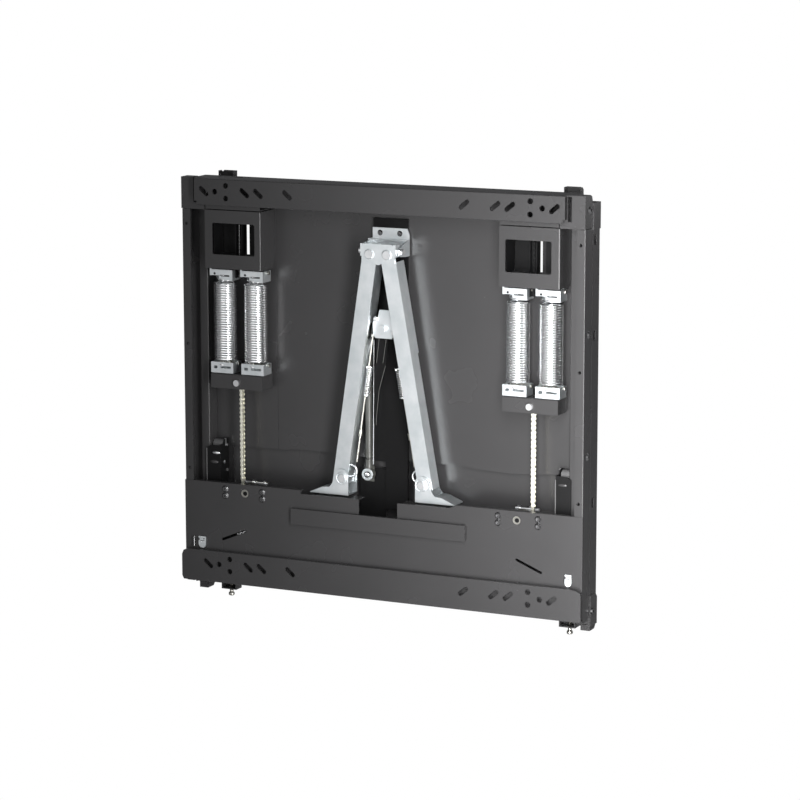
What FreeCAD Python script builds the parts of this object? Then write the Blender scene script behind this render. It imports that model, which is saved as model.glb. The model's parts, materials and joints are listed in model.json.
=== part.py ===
import FreeCAD, Part
import os
import math
import Sketcher

# Height-adjustable wall mount for a large screen.
# X runs to the right as seen from the front, Z up, Y towards the wall.
# Every piece is drawn with y = 0 on the front plane of the two screen rails and then
# placed at -overall_depth, so that the wall plane is Y = 0 and the origin lies on it,
# midway between the two hole rows.

os.makedirs("parts", exist_ok=True)
doc = FreeCAD.newDocument("mount")
sheet = doc.addObject("Spreadsheet::Sheet", "dims")

DIMS = [
    ("overall_depth", 115), ("half_width", 457), ("rail_row", 400), ("plate_gauge", 2.5),
    ("rail_depth", 13.2), ("rail_gauge", 4), ("top_rail_half", 418.7), ("top_rail_low", 371), ("top_rail_high", 426.5),
    ("bottom_rail_half", 460), ("bottom_rail_low", 440), ("bottom_rail_high", 372),
    ("screen_hole_x", 370), ("screen_hole_r", 6.0), ("pair_hole_x", 344), ("pair_hole_dz", 13.3),
    ("slot_radius", 5.0), ("slot_half_x", 6.5), ("slot_half_z", 5.5),
    ("slot_outer_x", 396), ("slot_mid_x", 300), ("slot_inner_x", 268), ("slot_far_x", 200),
    ("column_front", 16), ("column_rear", 53), ("column_low", 445), ("column_high", 359),
    ("column_inner", 438), ("bracket_inner", 402.5), ("bracket_low", 360), ("bracket_high", 427),
    ("channel_front", 55.5), ("channel_rear", 93), ("channel_low", 469), ("channel_high", 409),
    ("guide_inner", 414), ("guide_outer", 434), ("guide_front", 47), ("guide_rear", 90),
    ("panel_front", 82), ("panel_gauge", 1.5), ("panel_half", 413.5), ("panel_low", 155), ("panel_high", 409),
    ("wall_rail_inner", 377), ("wall_rail_outer", 413), ("wall_rail_front", 90), ("wall_rail_low", 477),
    ("wall_rail_high", 433.5), ("wall_hole_r", 5), ("wall_hole_z", 340),
    ("box_inner", 271), ("box_outer", 402), ("box_front", 14.5), ("box_low", 236), ("box_high", 359.5),
    ("box_gauge", 2), ("window_inner", 284.5), ("window_outer", 384.7), ("window_low", 266), ("window_high", 332.5),
    ("spring_outer_x", 372.3), ("spring_inner_x", 299.8), ("spring_y", 47), ("spring_radius", 25.5),
    ("spring_wire", 5), ("spring_low", 37), ("spring_high", 204), ("hanger_front", 28.2), ("hanger_depth", 36),
    ("hanger_low", 209), ("hanger_high", 232), ("seat_low", 11), ("seat_high", 34), ("zinc_gauge", 2),
    ("yoke_inner", 275), ("yoke_outer", 397), ("yoke_front", 25), ("yoke_rear", 74), ("yoke_low", 21),
    ("yoke_high", 10), ("chain_x", 335.2), ("chain_y", 43.5), ("chain_pitch", 12.7), ("chain_top", 7.7),
    ("chain_end", 220), ("sprocket_x", 313), ("sprocket_z", 242.7), ("sprocket_r", 20.5),
    ("apron_front", 14), ("apron_half", 454), ("apron_top", 224), ("apron_mid", 231.5), ("apron_low", 437),
    ("strip_half", 200.4), ("strip_front", 6.5), ("strip_low", 296.8), ("strip_high", 263.3),
    ("latch_x", 422), ("latch_z", 357.6), ("hinge_y", 36), ("hinge_z", 290),
    ("head_half", 37.4), ("head_front", 17), ("head_low", 268), ("head_high", 307),
    ("leg_width", 33), ("leg_depth", 38), ("leg_depth_low", 33.5), ("leg_lean", 9.2), ("leg_tilt", 1.9),
    ("foot_x", 91.1), ("foot_z", 193.3), ("foot_low", 231), ("rivet_x", 19.9), ("rivet_z", 285.4),
    ("damper_x", 48.5), ("damper_y", 73), ("damper_r", 7.5), ("damper_bore", 5.6), ("damper_rod", 5), ("damper_low", 150),
    ("damper_high", 272), ("roller_r", 11.2), ("roller_y", 70.5), ("roller_x", 399),
    ("roller_high", 152.5), ("roller_low", 207), ("screw_x", 396), ("screw_y", 104),
]


class Q:
    """A number that remembers the sheet expression it came from."""

    def __init__(self, v, t=None):
        self.v = float(v)
        self.t = t if t is not None else "(%r)" % float(v)
        self.live = t is not None

    def _mix(self, o, v, op, swap=False):
        a, b = (o, self) if swap else (self, o)
        q = Q(v, "(%s %s %s)" % (a.t, op, b.t))
        q.live = a.live or b.live
        return q

    def __add__(self, o):
        o = o if isinstance(o, Q) else Q(o)
        return self._mix(o, self.v + o.v, "+")

    __radd__ = __add__

    def __sub__(self, o):
        o = o if isinstance(o, Q) else Q(o)
        return self._mix(o, self.v - o.v, "-")

    def __rsub__(self, o):
        return Q(o) - self

    def __mul__(self, o):
        o = o if isinstance(o, Q) else Q(o)
        return self._mix(o, self.v * o.v, "*")

    __rmul__ = __mul__

    def __neg__(self):
        return Q(-1) * self


def q(a):
    return a if isinstance(a, Q) else Q(a)


class D:
    pass


for row, (alias, value) in enumerate(DIMS, 1):
    sheet.set("A%d" % row, alias)
    sheet.set("B%d" % row, str(value))
    sheet.setAlias("B%d" % row, alias)
    setattr(D, alias, Q(value, "dims." + alias))
doc.recompute()

count = {"n": 0}


def uid(base):
    count["n"] += 1
    return "%s_%d" % (base, count["n"])


def bind(obj, prop, val):
    val = q(val)
    if val.live:
        obj.setExpression(prop, val.t)


# ---- feature bodies -------------------------------------------------------
def body(label):
    b = doc.addObject("PartDesign::Body", uid("Body_" + label))
    b.Label = label
    return b


def sketch(b, plane, offset):
    s = b.newObject("Sketcher::SketchObject", uid("Sketch"))
    pl = [o for o in b.Origin.OriginFeatures if o.Role == plane + "_Plane"][0]
    s.AttachmentSupport = [(pl, "")]
    s.MapMode = "FlatFace"
    offset = q(offset)
    s.AttachmentOffset = FreeCAD.Placement(FreeCAD.Vector(0, 0, offset.v), FreeCAD.Rotation())
    bind(s, "AttachmentOffset.Base.z", offset)
    return s


def poly(s, pts):
    base = len(s.Geometry)
    n = len(pts)
    P = [(q(a), q(b)) for a, b in pts]
    for i in range(n):
        a, b = P[i], P[(i + 1) % n]
        s.addGeometry(Part.LineSegment(FreeCAD.Vector(a[0].v, a[1].v, 0), FreeCAD.Vector(b[0].v, b[1].v, 0)))
    for i in range(n):
        s.addConstraint(Sketcher.Constraint("Coincident", base + i, 2, base + (i + 1) % n, 1))
    for i in range(n):
        for k, kind in ((0, "DistanceX"), (1, "DistanceY")):
            if P[i][k].live:
                c = s.addConstraint(Sketcher.Constraint(kind, -1, 1, base + i, 1, P[i][k].v))
                s.setExpression("Constraints[%d]" % c, P[i][k].t)


def rect(s, x0, x1, z0, z1):
    poly(s, [(x0, z0), (x1, z0), (x1, z1), (x0, z1)])


def circ(s, x, z, r):
    x, z, r = q(x), q(z), q(r)
    g = s.addGeometry(Part.Circle(FreeCAD.Vector(x.v, z.v, 0), FreeCAD.Vector(0, 0, 1), r.v))
    for kind, val in (("DistanceX", x), ("DistanceY", z)):
        if val.live:
            c = s.addConstraint(Sketcher.Constraint(kind, -1, 1, g, 3, val.v))
            s.setExpression("Constraints[%d]" % c, val.t)
    if r.live:
        c = s.addConstraint(Sketcher.Constraint("Radius", g, r.v))
        s.setExpression("Constraints[%d]" % c, r.t)


def slot(s, x, z, ux, uz, r):
    """Obround with half vector (ux, uz) and end radius r."""
    x, z, ux, uz, r = float(x), float(z), float(ux), float(uz), float(r)
    L = math.hypot(ux, uz)
    nx, nz = -uz / L * r, ux / L * r
    A, B = (x + ux, z + uz), (x - ux, z - uz)
    V = FreeCAD.Vector
    a = math.degrees(math.atan2(nz, nx))
    s.addGeometry(Part.LineSegment(V(A[0] + nx, A[1] + nz, 0), V(B[0] + nx, B[1] + nz, 0)))
    s.addGeometry(Part.Arc(V(B[0] + nx, B[1] + nz, 0), V(B[0] - ux / L * r, B[1] - uz / L * r, 0), V(B[0] - nx, B[1] - nz, 0)))
    s.addGeometry(Part.LineSegment(V(B[0] - nx, B[1] - nz, 0), V(A[0] - nx, A[1] - nz, 0)))
    s.addGeometry(Part.Arc(V(A[0] - nx, A[1] - nz, 0), V(A[0] + ux / L * r, A[1] + uz / L * r, 0), V(A[0] + nx, A[1] + nz, 0)))


def pad(b, plane, a, c, draw):
    """Solid between a and c along the axis normal to the plane."""
    a, c = q(a), q(c)
    s = sketch(b, plane, -c if plane == "XZ" else a)
    draw(s)
    f = b.newObject("PartDesign::Pad", uid("Pad"))
    f.Profile = s
    f.Length = (c - a).v
    bind(f, "Length", c - a)
    b.Tip = f
    return f


def cut(b, plane, a, c, draw):
    """Pocket between a and c along the axis normal to the plane."""
    a, c = q(a), q(c)
    s = sketch(b, plane, -a if plane == "XZ" else c)
    draw(s)
    f = b.newObject("PartDesign::Pocket", uid("Pocket"))
    f.Profile = s
    f.Length = (c - a).v
    bind(f, "Length", c - a)
    b.Tip = f
    return f


def fillet(b, pick, r, kind="Fillet"):
    doc.recompute()
    tip = b.Tip
    names = ["Edge%d" % (i + 1) for i, e in enumerate(tip.Shape.Edges) if pick(e)]
    if not names:
        raise RuntimeError("no edges for the fillet of " + b.Label)
    f = b.newObject("PartDesign::" + kind, uid(kind))
    f.Base = (tip, names)
    if kind == "Fillet":
        f.Radius = float(r)
    else:
        f.Size = float(r)
    b.Tip = f
    doc.recompute()
    return f


def along(e, axis):
    if not isinstance(e.Curve, Part.Line):
        return False
    d = e.Vertexes[-1].Point - e.Vertexes[0].Point
    return abs(abs(getattr(d, axis)) - d.Length) < 1e-4


def near(e, **at):
    c = e.CenterOfMass
    return all(abs(getattr(c, k) - float(v)) < 0.6 for k, v in at.items())


# ---- primitives ------------------------------------------------------------
def box(x0, x1, y0, y1, z0, z1):
    o = doc.addObject("Part::Box", uid("Block"))
    lo = [q(x0), q(y0), q(z0)]
    sz = [q(x1) - q(x0), q(y1) - q(y0), q(z1) - q(z0)]
    o.Length, o.Width, o.Height = [v.v for v in sz]
    o.Placement = FreeCAD.Placement(FreeCAD.Vector(*[v.v for v in lo]), FreeCAD.Rotation())
    for p, v in zip(("Length", "Width", "Height"), sz):
        bind(o, p, v)
    for p, v in zip(("x", "y", "z"), lo):
        bind(o, "Placement.Base." + p, v)
    return o


ROT = {
    "Z": FreeCAD.Rotation(),
    "X": FreeCAD.Rotation(FreeCAD.Vector(0, 1, 0), 90),
    "Y": FreeCAD.Rotation(FreeCAD.Vector(1, 0, 0), -90),
}


def cyl(axis, x, y, z, r, length):
    """Cylinder that starts at (x, y, z) and runs along +axis."""
    o = doc.addObject("Part::Cylinder", uid("Round"))
    at = [q(x), q(y), q(z)]
    r, length = q(r), q(length)
    o.Radius, o.Height = r.v, length.v
    o.Placement = FreeCAD.Placement(FreeCAD.Vector(*[v.v for v in at]), ROT[axis])
    bind(o, "Radius", r)
    bind(o, "Height", length)
    for p, v in zip(("x", "y", "z"), at):
        bind(o, "Placement.Base." + p, v)
    return o


def fuse(*obs):
    o = doc.addObject("Part::MultiFuse", uid("Fused"))
    o.Shapes = list(obs)
    return o


def minus(a, *tools):
    t = tools[0] if len(tools) == 1 else fuse(*tools)
    o = doc.addObject("Part::Cut", uid("Trimmed"))
    o.Base, o.Tool = a, t
    return o


def group(label, obs):
    """Several equal solids that share one node."""
    o = doc.addObject("Part::Compound", uid("Group"))
    o.Links = list(obs)
    o.Label = label
    return o


def prism(pts, y0, y1):
    """Plain sheet-metal outline in the XZ plane between two depths."""
    y0, y1 = q(y0).v, q(y1).v
    V = FreeCAD.Vector
    w = Part.makePolygon([V(q(a).v, y0, q(b).v) for a, b in pts] + [V(q(pts[0][0]).v, y0, q(pts[0][1]).v)])
    o = doc.addObject("Part::Feature", uid("Outline"))
    o.Shape = Part.Face(w).extrude(V(0, y1 - y0, 0))
    return o


NODES = []


def node(obj, label):
    obj.Label = label
    obj.Placement = FreeCAD.Placement(FreeCAD.Vector(0, -D.overall_depth.v, 0), FreeCAD.Rotation())
    obj.setExpression("Placement.Base.y", "(-1) * dims.overall_depth")
    NODES.append((label, obj))


SIDES = (("left", -1), ("right", 1))


def span(sgn, a, b):
    """Ordered pair of X values for one side."""
    a, b = q(a), q(b)
    return (a, b) if sgn > 0 else (-b, -a)


t = D.plate_gauge

# ---- the two screen rails ----------------------------------------------------
def rail_holes(s, z):
    zc = q(z)
    for sg in (-1, 1):
        circ(s, sg * D.screen_hole_x, zc, D.screen_hole_r)
        circ(s, sg * D.pair_hole_x, zc + D.pair_hole_dz, D.screen_hole_r)
        circ(s, sg * D.pair_hole_x, zc - D.pair_hole_dz, D.screen_hole_r)
        for x in (D.slot_outer_x, D.slot_mid_x, D.slot_inner_x, D.slot_far_x):
            slot(s, sg * x.v, zc.v, D.slot_half_x.v, sg * D.slot_half_z.v, D.slot_radius.v)


b = body("top_rail")
h = D.top_rail_half
# upright web with two rearward flanges; the web's lower corners are notched
rg = D.rail_gauge
pad(b, "XZ", 0, rg, lambda s: poly(s, [(-h, D.top_rail_high), (h, D.top_rail_high), (h, 379), (h - 5.5, 379), (h - 5.5, D.top_rail_low),
                                      (5.5 - h, D.top_rail_low), (5.5 - h, 379), (-h, 379)]))
pad(b, "XY", D.top_rail_high - t, D.top_rail_high, lambda s: rect(s, -h, h, t - 0.5, D.rail_depth))
pad(b, "XY", D.top_rail_low, D.top_rail_low + t, lambda s: rect(s, 12 - h, h - 12, t - 0.5, D.rail_depth))
for sg in (-1, 1):
    # short return at each end of the rail
    e0, e1 = span(sg, h - t, h)
    pad(b, "YZ", e0, e1, lambda s: rect(s, rg - 0.5, 10.5, 379, D.top_rail_high))
cut(b, "XZ", -1, rg + 1, lambda s: rail_holes(s, D.rail_row))
fillet(b, lambda e: along(e, "x") and near(e, y=0) and abs(e.CenterOfMass.x) < 1 and e.Length > 700, 1.8)
node(b, "top_rail")

b = body("bottom_rail")
h = D.bottom_rail_half
pad(b, "XZ", 0, rg, lambda s: poly(s, [(4 - h, -D.bottom_rail_low), (h, -D.bottom_rail_low), (h, -D.bottom_rail_high - 12), (h - 3, -D.bottom_rail_high - 6),
                                      (h - 12, -D.bottom_rail_high - 2), (h - 24, -D.bottom_rail_high), (13 - h, -D.bottom_rail_high), (4 - h, -D.bottom_rail_high - 4), (-h, -D.bottom_rail_high - 13),
                                      (-h, -D.bottom_rail_low + 8)]))
pad(b, "XY", -D.bottom_rail_high - t, -D.bottom_rail_high, lambda s: rect(s, 46 - h, h - 46, t - 0.5, D.rail_depth))
pad(b, "XY", -D.bottom_rail_low, t - D.bottom_rail_low, lambda s: rect(s, 6 - h, h, t - 0.5, D.rail_depth))
cut(b, "XZ", -1, rg + 1, lambda s: rail_holes(s, -D.rail_row))
fillet(b, lambda e: along(e, "x") and near(e, y=0) and e.Length > 700, 1.8)
node(b, "bottom_rail")

# ---- carriage sides ----------------------------------------------------------
for side, sg in SIDES:
    b = body("end_bracket_" + side)
    x0, x1 = span(sg, D.bracket_inner, D.half_width)
    w0, w1 = span(sg, D.half_width - t, D.half_width)
    f0, f1 = D.rail_depth + 0.3, D.rail_depth + 0.3 + t
    # front plate with the slot beside the rail end, side wall and top flange
    if sg > 0:
        pts = [(x0, D.bracket_low), (x1, D.bracket_low), (x1, D.bracket_high), (428, D.bracket_high), (428, 374), (419.5, 374), (419.5, D.bracket_high), (x0, D.bracket_high)]
    else:
        pts = [(x0, D.bracket_low), (x1, D.bracket_low), (x1, D.bracket_high), (-419.5, D.bracket_high), (-419.5, 374), (-428, 374), (-428, D.bracket_high), (x0, D.bracket_high)]
    pad(b, "XZ", f0, f1, lambda s: poly(s, pts))
    pad(b, "YZ", w0, w1, lambda s: poly(s, [(f0, D.bracket_low), (D.column_rear, D.bracket_low), (D.column_rear, D.bracket_high - 12), (D.column_rear - 3.5, D.bracket_high - 3.5),
                                            (D.column_rear - 12, D.bracket_high), (f0, D.bracket_high)]))
    u0, u1 = span(sg, 431, D.half_width)
    pad(b, "XY", D.bracket_high - t, D.bracket_high, lambda s: rect(s, u0, u1, f0, D.column_rear - 12))
    cut(b, "YZ", w0 - 1, w1 + 1, lambda s: circ(s, 37, 396.3, 4.2))
    node(b, "end_bracket_" + side)

    b = body("column_" + side)
    c0, c1 = span(sg, D.column_inner, D.half_width)
    k0 = D.column_front
    pad(b, "XZ", k0, k0 + t, lambda s: rect(s, c0, c1, -D.column_low, D.column_high))
    pad(b, "YZ", w0, w1, lambda s: poly(s, [(k0, -D.column_low), (D.column_rear - 8, -D.column_low), (D.column_rear, 8 - D.column_low), (D.column_rear, D.column_high), (k0, D.column_high)]))
    cut(b, "XZ", k0 - 1, k0 + t + 1, lambda s: [circ(s, sg * 446.6, z, 3.5) for z in (328, 71.6, -197.3)])

    def side_holes(s):
        for z in (146.1, -103.3):
            circ(s, 37, z, 4.2)
        slot(s, 43, -386, 0, 10, 2)

    cut(b, "YZ", w0 - 1, w1 + 1, side_holes)
    fillet(b, lambda e: along(e, "z") and near(e, y=16, x=sg * 457), 1.8)
    node(b, "column_" + side)

# ---- apron ---------------------------------------------------------------
b = body("apron_plate")
A = D.apron_front
h = D.apron_half + 3.5
mid = D.apron_mid
pts = [(-h, -D.apron_low), (h, -D.apron_low), (h, -D.apron_top), (180, -D.apron_top), (160, -mid), (44.3, -mid), (44.3, -264.6), (-44.3, -264.6),
       (-44.3, -mid), (-180, -mid), (-180, -D.apron_top), (-h, -D.apron_top)]
pad(b, "XZ", A, A + 1.9, lambda s: poly(s, pts))
for sg in (-1, 1):
    p0, p1 = span(sg, 180, 437.4)
    pad(b, "XY", -D.apron_top - t, -D.apron_top, lambda s: rect(s, p0, p1, A, A + 14))


for sg in (-1, 1):
    p0, p1 = span(sg, 50, 150)
    pad(b, "XY", -mid - 4, -mid - 1.5, lambda s: rect(s, p0, p1, A, A + 40))


def apron_holes(s):
    for sg in (-1, 1):
        for x in (271.7, 360):
            for z in (-236.4, -251.3):
                circ(s, sg * x, z, 4.2)
        circ(s, sg * D.sprocket_x, -D.sprocket_z, 8.8)
        slot(s, sg * 340.2, -336, 26.7, -11 * sg, 2.8)
        circ(s, sg * D.latch_x, -D.latch_z, 5.2)
    for x in (-170, 0, 170):
        circ(s, x, -280, 3.2)


cut(b, "XZ", A - 1, A + t + 0.1, apron_holes)
node(b, "apron_plate")

b = body("cover_strip")
pad(b, "XZ", D.strip_front, D.strip_front + 2, lambda s: rect(s, -D.strip_half, D.strip_half, -D.strip_low, -D.strip_high))
pad(b, "XY", -D.strip_high - 2, -D.strip_high, lambda s: rect(s, -D.strip_half, D.strip_half, D.strip_front, A))
pad(b, "XY", -D.strip_low, 2 - D.strip_low, lambda s: rect(s, -D.strip_half, D.strip_half, D.strip_front, A))
node(b, "cover_strip")


def button_y(x, z, y, r=7.2, hgt=3.2, stem=4.0, depth=9):
    """Button-head screw that faces the front, head seated on depth y."""
    hd = doc.addObject("Part::Cone", uid("Head"))
    hd.Radius1, hd.Radius2, hd.Height = r * 0.62, r, hgt
    hd.Placement = FreeCAD.Placement(FreeCAD.Vector(x, y - hgt, z), ROT["Y"])
    st = cyl("Y", x, y - 0.2, z, stem, depth)
    sock = cyl("Y", x, y - hgt - 0.1, z, r * 0.36, hgt * 0.8)
    return minus(fuse(hd, st), sock)


def button_x(sg, x, y, z, r=8, hgt=3.6, stem=4.0, depth=8):
    """Button-head screw that faces outwards on a side wall at |X| = x."""
    hd = doc.addObject("Part::Cone", uid("Head"))
    hd.Radius1, hd.Radius2, hd.Height = r, r * 0.62, hgt
    hd.Placement = FreeCAD.Placement(FreeCAD.Vector(sg * x, y, z), FreeCAD.Rotation(FreeCAD.Vector(0, 1, 0), 90 * sg))
    st = cyl("X", (x - depth) if sg > 0 else -x - 0.2, y, z, stem, depth + 0.2)
    sock = cyl("X", (x + hgt * 0.2) if sg > 0 else -x - hgt - 0.1, y, z, r * 0.34, hgt * 0.8 + 0.1)
    return minus(fuse(hd, st), sock)


g = group("apron_screws", [button_y(sg * x, z, A.v) for sg in (-1, 1) for x in (271.7, 360) for z in (-236.4, -251.3)])
node(g, "apron_screws")
g = group("column_screws", [button_x(sg, 457, 37, z) for sg in (-1, 1) for z in (396.3, 146.1, -103.3)])
node(g, "column_screws")

# ---- spring boxes -----------------------------------------------------------
for side, sg in SIDES:
    b = body("spring_box_" + side)
    x0, x1 = span(sg, D.box_inner, D.box_outer)
    g2 = D.box_gauge
    fr = D.box_front
    back = D.panel_front - 0.3
    pad(b, "XZ", fr, fr + g2, lambda s: rect(s, x0, x1, D.box_low, D.box_high))
    pad(b, "YZ", x0, x0 + g2, lambda s: poly(s, [(fr, D.box_low), (back - 10, D.box_low), (back, D.box_low + 12), (back, D.box_high), (fr, D.box_high)]))
    pad(b, "YZ", x1 - g2, x1, lambda s: poly(s, [(fr, D.box_low), (back - 10, D.box_low), (back, D.box_low + 12), (back, D.box_high), (fr, D.box_high)]))
    pad(b, "XY", D.box_high - g2, D.box_high, lambda s: rect(s, x0, x1, fr, back))
    # stop lip above the box, behind the top rail
    l0, l1 = span(sg, D.box_inner + 1, D.box_outer - 2)
    m0, m1 = span(sg, D.box_inner + 6, D.box_outer - 6)
    pad(b, "XY", D.box_high - 0.5, D.box_high + 6, lambda s: rect(s, m0, m1, 30, 34))
    pad(b, "XY", D.box_high + 2, D.box_high + 4, lambda s: rect(s, l0, l1, fr + 1, 60))
    pad(b, "XZ", fr + 1, fr + 3, lambda s: rect(s, l0, l1, D.box_high + 2, D.box_high + 12))
    v0, v1 = span(sg, D.window_inner, D.window_outer)
    cut(b, "XZ", fr - 1, fr + g2 + 1, lambda s: rect(s, v0, v1, D.window_low, D.window_high))
    fillet(b, lambda e: along(e, "y") and near(e, y=fr.v + 1) and e.Length < 2.5 and 260 < e.CenterOfMass.z < 340 and 280 < abs(e.CenterOfMass.x) < 390, 4)
    node(b, "spring_box_" + side)

g = group("spring_box_rods", [fuse(cyl("Z", sg * 335.3, D.spring_y, 214, 4, D.box_high - 214 - 2.5), cyl("Z", sg * 335.3, D.spring_y, 345, 9, 8)) for sg in (-1, 1)])
node(g, "spring_box_rods")


def hanger(xc):
    """Bent hanger for one spring: full front plate with a stepped lower edge, side ears, rear web and shelf."""
    y0 = D.hanger_front.v
    y1 = y0 + D.hanger_depth.v
    zg = D.zinc_gauge.v
    x = xc.v
    plate = prism([(x - 26.5, 219.5), (x - 5, 219.5), (x - 5, D.hanger_low), (x + 27, D.hanger_low), (x + 27, D.hanger_high), (x - 26.5, D.hanger_high)], y0, y0 + zg)
    tip = prism([(x - 26.5, 219), (x - 22.5, 219), (x - 22.5, D.hanger_high + 7), (x - 26.5, D.hanger_high + 7)], y0, y0 + zg)
    ear1 = box(x - 26.5, x - 26.5 + zg, y0, y1, 219.5, D.hanger_high)
    ear2 = box(x + 27 - zg, x + 27, y0, y1, D.hanger_low, D.hanger_high)
    web = box(x - 26.5, x + 27, y1 - zg, y1, 219.5, D.hanger_high)
    shelf = box(x - 26.5, x + 27, y0, y1, 221, 221 + zg)
    eye = cyl("X", x - 30, y0 + 24, 227.5, 3.2, 62)
    hole = cyl("Z", x, D.spring_y, 200, 6, 40)
    slit = box(x - 2, x + 20, y0 - 1, y0 + zg + 1, 217.5, 221)
    return minus(fuse(plate, tip, ear1, ear2, web, shelf), eye, hole, slit)


def seat(xc):
    """Lower seat for one spring: full front plate with two small slots, rounded ears, rear web and shelf."""
    y0 = D.hanger_front.v
    y1 = y0 + D.hanger_depth.v
    zg = D.zinc_gauge.v
    x = xc.v
    z0, z1 = D.seat_low.v, D.seat_high.v
    plate = prism([(x - 26, z0), (x + 27, z0), (x + 27, z1), (x - 26, z1)], y0, y0 + zg)
    ear1 = box(x - 26, x - 26 + zg, y0, y1, z0, z1)
    ear2 = box(x + 27 - zg, x + 27, y0, y1, z0, z1)
    knob1 = cyl("X", x - 26, y1 - 12, z1 - 4, 6.5, zg)
    knob2 = cyl("X", x + 27 - zg, y1 - 12, z1 - 4, 6.5, zg)
    web = box(x - 26, x + 27, y1 - zg, y1, z0, z1)
    shelf = box(x - 26, x + 27, y0, y1, z0, z0 + zg)
    eye = cyl("X", x - 30, y1 - 12, z1 - 4, 3, 62)
    hole = cyl("Z", x, D.spring_y, z0 - 2, 6, 10)
    slit1 = box(x - 19, x - 11, y0 - 1, y0 + zg + 1, 20, 26)
    slit2 = box(x - 3, x + 21, y0 - 1, y0 + zg + 1, 21, 25.5)
    return minus(fuse(plate, ear1, ear2, knob1, knob2, web, shelf), eye, hole, slit1, slit2)


hang, seats = [], []
for sg in (-1, 1):
    for xs in (D.spring_outer_x, D.spring_inner_x):
        hang.append(hanger(sg * xs))
        seats.append(seat(sg * xs))
node(group("spring_hangers", hang), "spring_hangers")
node(group("spring_seats", seats), "spring_seats")

# ---- springs: coiled wire as a helical sweep with straight end eyes --------------
for side, sg in SIDES:
    coils = []
    for k, xs in enumerate((D.spring_outer_x, D.spring_inner_x)):
        x = (sg * xs).v
        low, high, r, w = D.spring_low.v, D.spring_high.v, D.spring_radius.v, D.spring_wire.v
        tube = doc.addObject("Part::Feature", uid("Coil"))
        V = FreeCAD.Vector
        pitch = (high - low - w) / 31.0
        prof = [V(r - w, 0, 0), V(r, 0, 0)]
        outer = Part.makeCylinder(r, high - low, V(x, D.spring_y.v, low))
        inner = Part.makeCylinder(r - w, high - low + 2, V(x, D.spring_y.v, low - 1))
        shell = outer.cut(inner)
        # the wire's outline is kept as ring grooves so that the coil reads as a stack of turns
        rings = []
        n = 31
        for i in range(1, n):
            z = low + (high - low) * i / n
            o = Part.makeCylinder(r + 1, 1.6, V(x, D.spring_y.v, z - 0.8)).cut(Part.makeCylinder(r - 1.2, 3, V(x, D.spring_y.v, z - 1.5)))
            rings.append(o)
        shell = shell.cut(Part.makeCompound(rings))
        tube.Shape = shell
        coils.append(tube)
    node(group("springs_" + side, coils), "springs_" + side)

# ---- yokes, pins, chains -------------------------------------------------------
pins = []
for side, sg in SIDES:
    b = body("yoke_" + side)
    x0, x1 = span(sg, D.yoke_inner, D.yoke_outer)
    y0, y1 = D.yoke_front, D.yoke_rear
    z0, z1 = -D.yoke_low, D.yoke_high
    pad(b, "XZ", y0, y0 + 3, lambda s: rect(s, x0, x1, z0, z1))
    pad(b, "XZ", y1 - 3, y1, lambda s: rect(s, x0, x1, z0, z1))
    pad(b, "XY", z1 - 3, z1, lambda s: rect(s, x0, x1, y0, y1))
    pad(b, "YZ", x0, x0 + 3, lambda s: rect(s, y0, y1, z0, z1))
    pad(b, "YZ", x1 - 3, x1, lambda s: rect(s, y0, y1, z0, z1))
    cut(b, "XZ", y0 - 1, y1 + 1, lambda s: circ(s, sg * D.chain_x, -7.7, 4.05))
    fillet(b, lambda e: along(e, "x") and near(e, z=10) and e.Length > 100, 2.5)
    node(b, "yoke_" + side)
    pins.append(fuse(cyl("Y", sg * D.chain_x, 20.6, -7.7, 6.8, 4.4), cyl("Y", sg * D.chain_x, 20.6, -7.7, 4, 55)))
    links = []
    for i in range(17):
        z = -D.chain_top - D.chain_pitch * i - 6.35
        y = 43.5 if i % 2 else 45.5
        y2 = 53.5 if i % 2 else 51.5
        for yy in (y, y2 - 1.5):
            pl = fuse(box(sg * D.chain_x - 4.6, sg * D.chain_x + 4.6, yy, yy + 1.5, z - 6.35, z + 6.35),
                      cyl("Y", sg * D.chain_x, yy, z - 6.35, 5.4, 1.5), cyl("Y", sg * D.chain_x, yy, z + 6.35, 5.4 if i else 6.6, 1.5))
            links.append(pl)
        links.append(cyl("Y", sg * D.chain_x, 42.8, z - 6.35, 2.5, 11.4))
    node(minus(fuse(*links), cyl("Y", sg * D.chain_x, 30, -D.chain_top, 4.05, 30)), "chain_" + side)
    # tension stud with nuts at the lower end of the chain
    s0, s1 = span(sg, 287, 340)
    n0, n1 = span(sg, 292, 297)
    m0, m1 = span(sg, 318, 323)
    pins.append(fuse(cyl("X", s0, 71, -230, 3, s1 - s0), cyl("X", n0, 71, -230, 5.8, n1 - n0), cyl("X", m0, 71, -230, 5.8, m1 - m0)))
node(group("chain_pins", pins), "chain_pins")

for side, sg in SIDES:
    x = sg * D.sprocket_x
    z = -D.sprocket_z
    hub = cyl("Y", x, 13.6, z, 8.4, 46)
    teeth = []
    disc = cyl("Y", x, 41.5, z, D.sprocket_r - 2, 4)
    hexs = doc.addObject("Part::Prism", uid("Socket"))
    hexs.Polygon, hexs.Circumradius, hexs.Height = 6, 5, 8
    hexs.Placement = FreeCAD.Placement(FreeCAD.Vector(x.v, 13, z.v), ROT["Y"])
    node(minus(fuse(hub, disc), hexs), "adjuster_" + side)

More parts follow.
